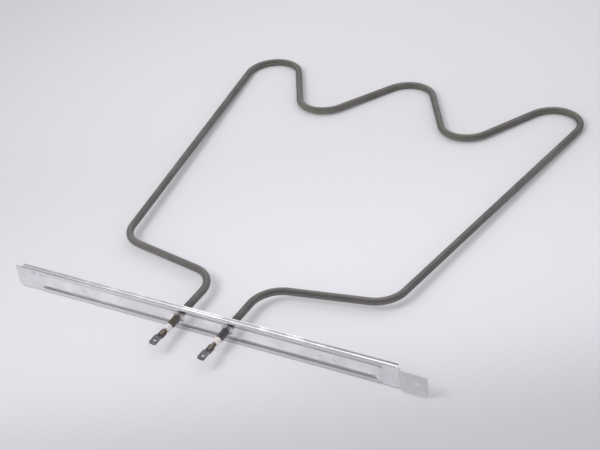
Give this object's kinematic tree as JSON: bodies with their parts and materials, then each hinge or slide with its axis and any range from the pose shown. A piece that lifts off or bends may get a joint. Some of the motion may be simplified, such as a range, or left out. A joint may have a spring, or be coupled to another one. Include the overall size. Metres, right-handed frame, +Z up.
{
  "type": "tubular oven heating element",
  "caption": "Tubular sheathed heating element bent into a flat loop with two rounded lobes and a centre peak, carried by a pressed steel mounting strip with spade terminals.",
  "frame": {"origin": "midway between the two legs, in the middle of the strip's sheet, on the strip's lower edge", "axes": "+X along the mounting strip towards its joggled screw tab, +Y back from the strip into the loop, +Z up from the surface that the part lies on"},
  "size_m": [0.3894, 0.4501, 0.022],
  "materials": {
    "oxidised_sheath": "matt, oxidised",
    "galvanised_strip": "satin zinc coat with rubbed patches",
    "white_ceramic": "unglazed, slightly pink",
    "heat_tinted_pin": "satin, brown heat tint",
    "nickel_blade": "satin nickel plate",
    "resistance_wire": "dull",
    "magnesia_powder": "compacted powder",
    "silicone_seal": "matt"
  },
  "bodies": {
    "root": {"mounting_strip": "galvanised_strip", "heater_sheath": "oxidised_sheath", "magnesia_filling": "magnesia_powder", "resistance_coil": "resistance_wire", "terminal_pin_left": "heat_tinted_pin", "terminal_pin_right": "heat_tinted_pin", "end_seal_left": "silicone_seal", "end_seal_right": "silicone_seal", "ceramic_bush_left": "white_ceramic", "ceramic_bush_right": "white_ceramic", "spade_tab_left": "nickel_blade", "spade_tab_right": "nickel_blade"}
  },
  "joints": []
}
